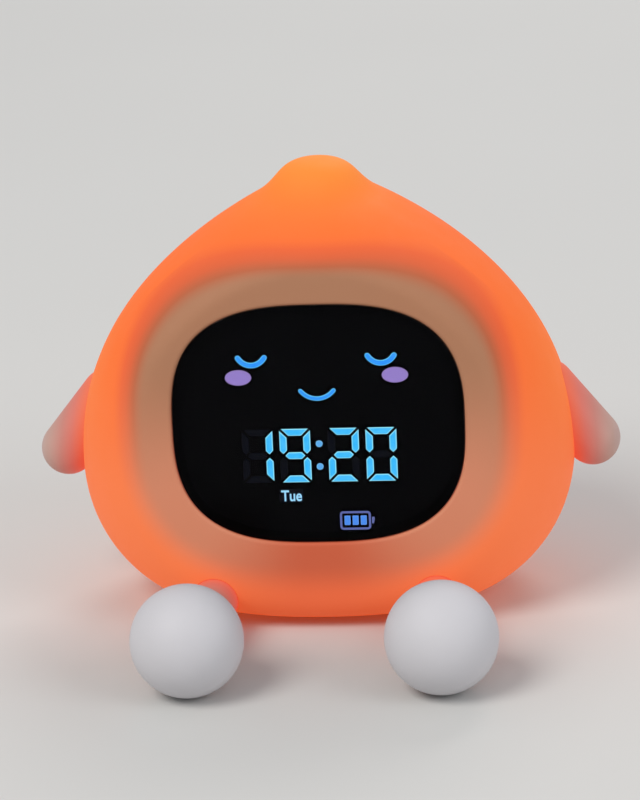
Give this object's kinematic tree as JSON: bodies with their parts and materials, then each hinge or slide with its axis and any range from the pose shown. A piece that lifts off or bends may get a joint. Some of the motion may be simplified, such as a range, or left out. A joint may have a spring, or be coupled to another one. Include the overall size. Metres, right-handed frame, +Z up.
{
  "type": "kids alarm clock with night light",
  "caption": "Sitting drop-shaped silicone alarm clock and night light with a smoked face display, arms, ball-footed legs and rear controls.",
  "frame": {"origin": "on the table, under the body's widest section, at the middle of the underside pad", "axes": "+X towards the viewer's right when facing the display, -Y out of the face, +Z up"},
  "size_m": [0.1552, 0.1252, 0.1179],
  "materials": {
    "shade_silicone": "matte translucent silicone, lit orange from inside",
    "limb_silicone": "matte white silicone",
    "pad_rubber": "matte",
    "white_plastic": "fine moulded texture",
    "black_plastic": "satin",
    "smoked_lens": "smoked acrylic, polished",
    "blue_light": "clear light guide, lit",
    "icon_light": "clear light guide, lit",
    "led_white": "LED package",
    "circuit_board": "solder-resist green",
    "black_parts": "moulded component bodies",
    "steel": "zinc plated",
    "battery_sleeve": "shrink sleeve",
    "button_plastic": "satin"
  },
  "bodies": {
    "housing": {"shade": "shade_silicone", "left_arm": "limb_silicone", "right_arm": "limb_silicone", "left_leg": "limb_silicone", "right_leg": "limb_silicone", "base_pad": "pad_rubber", "base_plate": "white_plastic", "base_screws": "steel", "chassis": "white_plastic", "face_frame": "black_plastic", "frame_screws": "steel", "display_lens": "smoked_lens", "lens_tape": "black_parts", "display_mask": "black_plastic", "segment_lights": "blue_light", "icon_lights": "icon_light", "display_leds": "led_white", "display_board": "circuit_board", "display_screws": "steel", "driver_chip": "black_parts", "light_board": "white_plastic", "light_leds": "led_white", "light_screw": "steel", "battery_cell": "battery_sleeve", "battery_strap": "steel", "strap_screws": "steel", "main_board": "circuit_board", "main_chips": "black_parts", "board_screws": "steel", "usb_socket": "steel", "tact_switches": "black_parts", "power_switch": "steel", "rear_panel": "white_plastic", "panel_screws": "steel", "speaker": "black_parts", "speaker_ring": "white_plastic"},
    "mode_key": {"mode_button": "button_plastic"},
    "minus_key": {"minus_button": "button_plastic"},
    "plus_key": {"plus_button": "button_plastic"},
    "light_key": {"light_button": "button_plastic"},
    "power_slider": {"power_knob": "black_parts"}
  },
  "joints": [
    {"name": "mode_press", "type": "slide", "parent": "housing", "child": "mode_key", "axis": [0, -1, 0], "range_m": [0, 0.0008], "stiffness_N_per_m": 250},
    {"name": "minus_press", "type": "slide", "parent": "housing", "child": "minus_key", "axis": [0, -1, 0], "range_m": [0, 0.0008], "stiffness_N_per_m": 250},
    {"name": "plus_press", "type": "slide", "parent": "housing", "child": "plus_key", "axis": [0, -1, 0], "range_m": [0, 0.0008], "stiffness_N_per_m": 250},
    {"name": "light_press", "type": "slide", "parent": "housing", "child": "light_key", "axis": [0, -1, 0], "range_m": [0, 0.0008], "stiffness_N_per_m": 250},
    {"name": "power_slide", "type": "slide", "parent": "housing", "child": "power_slider", "axis": [1, 0, 0], "range_m": [0, 0.003]}
  ]
}
